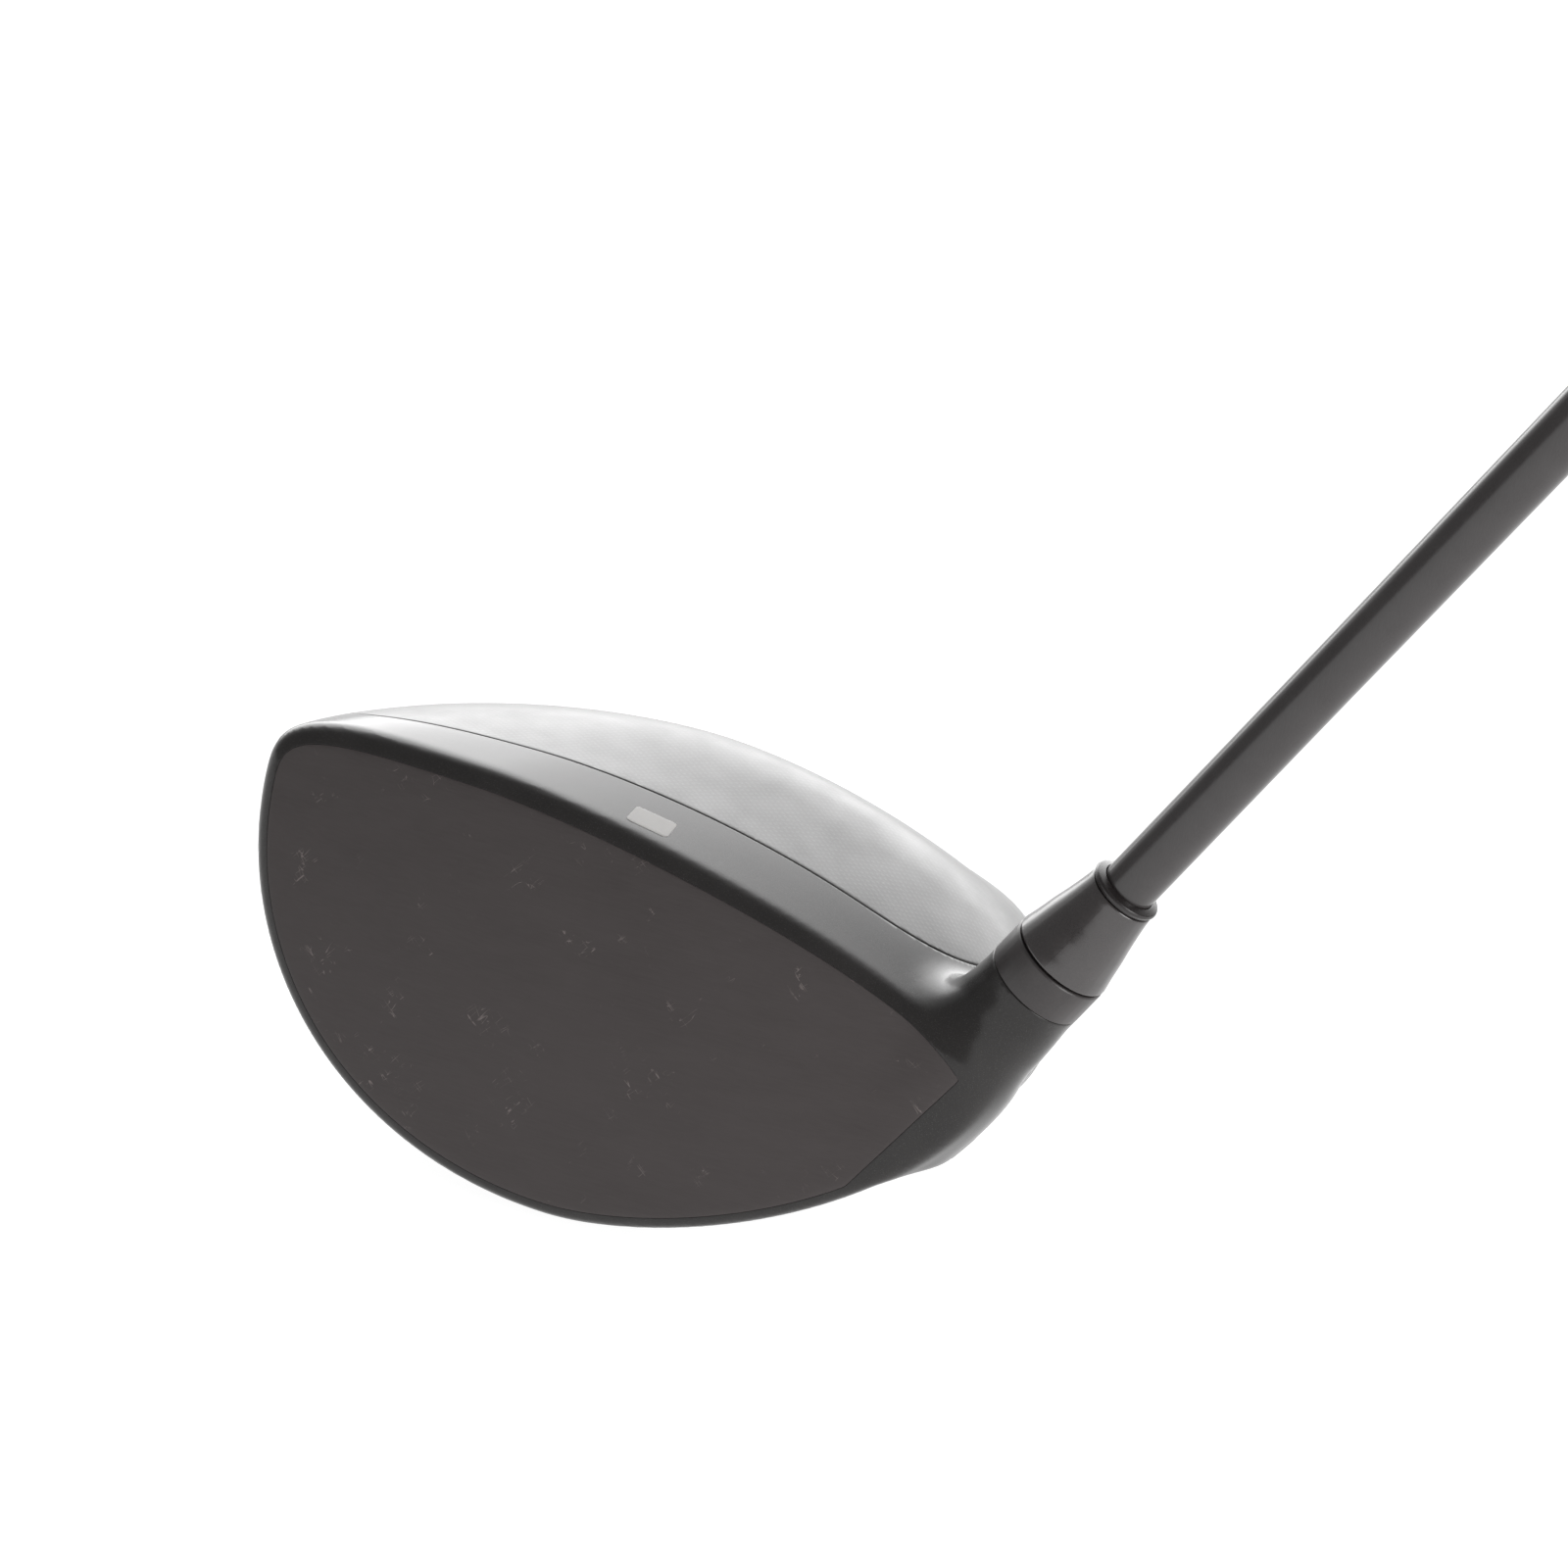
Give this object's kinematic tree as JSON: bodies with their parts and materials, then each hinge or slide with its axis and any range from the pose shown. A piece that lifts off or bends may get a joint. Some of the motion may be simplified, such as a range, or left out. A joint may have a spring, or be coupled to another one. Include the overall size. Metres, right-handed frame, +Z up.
{
  "type": "golf driver",
  "caption": "Right-handed golf driver: hollow metal and carbon head, indexed adapter sleeve with its bolt, screw-in weights, tapered graphite shaft and rubber grip.",
  "frame": {"origin": "middle of the flat pad under the sole, where the head touches the ground at address", "axes": "+Z up, -Y the way the face looks, +X from the toe towards the heel; the shaft leans 60 degrees above +X"},
  "size_m": [0.6807, 0.1169, 1.0021],
  "materials": {
    "face_metal": "matte",
    "body_paint": "satin gloss",
    "crown_carbon": "satin woven carbon",
    "sole_carbon": "gloss woven carbon",
    "sleeve_metal": "satin anodised",
    "ferrule_plastic": "gloss",
    "shaft_graphite": "satin lacquer",
    "grip_rubber": "moulded texture",
    "bolt_steel": "black oxide",
    "weight_steel": "turned",
    "gasket_rubber": "matte",
    "tape": "paper tape",
    "damping_compound": "tacky",
    "plug_brass": "turned"
  },
  "bodies": {
    "shaft_assembly": {"shaft": "shaft_graphite", "tip_plug": "plug_brass", "adapter_sleeve": "sleeve_metal", "ferrule": "ferrule_plastic", "grip_tape": "tape", "grip": "grip_rubber"},
    "index_ring": {"index_ring": "sleeve_metal"},
    "head": {"body_frame": "body_paint", "face_plate": "face_metal", "crown_panel": "crown_carbon", "sole_panel_toe": "sole_carbon", "sole_panel_heel": "sole_carbon", "damping_pad": "damping_compound"},
    "bolt_washer": {"bolt_washer": "weight_steel"},
    "sleeve_bolt": {"sleeve_bolt": "bolt_steel", "bolt_clip": "weight_steel"},
    "rear_gasket": {"rear_weight_gasket": "gasket_rubber"},
    "rear_weight": {"rear_weight": "weight_steel"},
    "front_gasket": {"front_weight_gasket": "gasket_rubber"},
    "front_weight": {"front_weight": "weight_steel"}
  },
  "joints": [
    {"name": "adapter_turn", "type": "hinge", "parent": "shaft_assembly", "child": "index_ring", "pos_m": [0.0646, -0.016, 0.05629], "axis": [0.5, 0, 0.866], "continuous": true},
    {"name": "head_pull_off", "type": "slide", "parent": "index_ring", "child": "head", "axis": [-0.5, 0, -0.866], "range_m": [0, 0.045]},
    {"name": "bolt_back_out", "type": "slide", "parent": "head", "child": "bolt_washer", "axis": [-0.5, 0, -0.866], "range_m": [0, 0.0072]},
    {"name": "bolt_turn", "type": "hinge", "parent": "bolt_washer", "child": "sleeve_bolt", "pos_m": [0.0446, -0.016, 0.02165], "axis": [-0.5, 0, -0.866], "range_deg": [0, 3240]},
    {"name": "rear_weight_back_out", "type": "slide", "parent": "head", "child": "rear_gasket", "axis": [-0.0027, 0.4657, -0.8849], "range_m": [0, 0.008]},
    {"name": "rear_weight_turn", "type": "hinge", "parent": "rear_gasket", "child": "rear_weight", "pos_m": [0, 0.07097, 0.01636], "axis": [-0.0027, 0.4657, -0.8849], "range_deg": [0, 2880]},
    {"name": "front_weight_back_out", "type": "slide", "parent": "head", "child": "front_gasket", "axis": [-0.0037, -0.0807, -0.9967], "range_m": [0, 0.008]},
    {"name": "front_weight_turn", "type": "hinge", "parent": "front_gasket", "child": "front_weight", "pos_m": [-0.00048, -0.02254, 0.00036], "axis": [-0.0037, -0.0807, -0.9967], "range_deg": [0, 2880]}
  ],
  "couplings": [
    {"joint": "bolt_turn", "follows": "bolt_back_out", "rad_per_m": 7853.9},
    {"joint": "rear_weight_turn", "follows": "rear_weight_back_out", "rad_per_m": 6283.1},
    {"joint": "front_weight_turn", "follows": "front_weight_back_out", "rad_per_m": 6283.1}
  ]
}
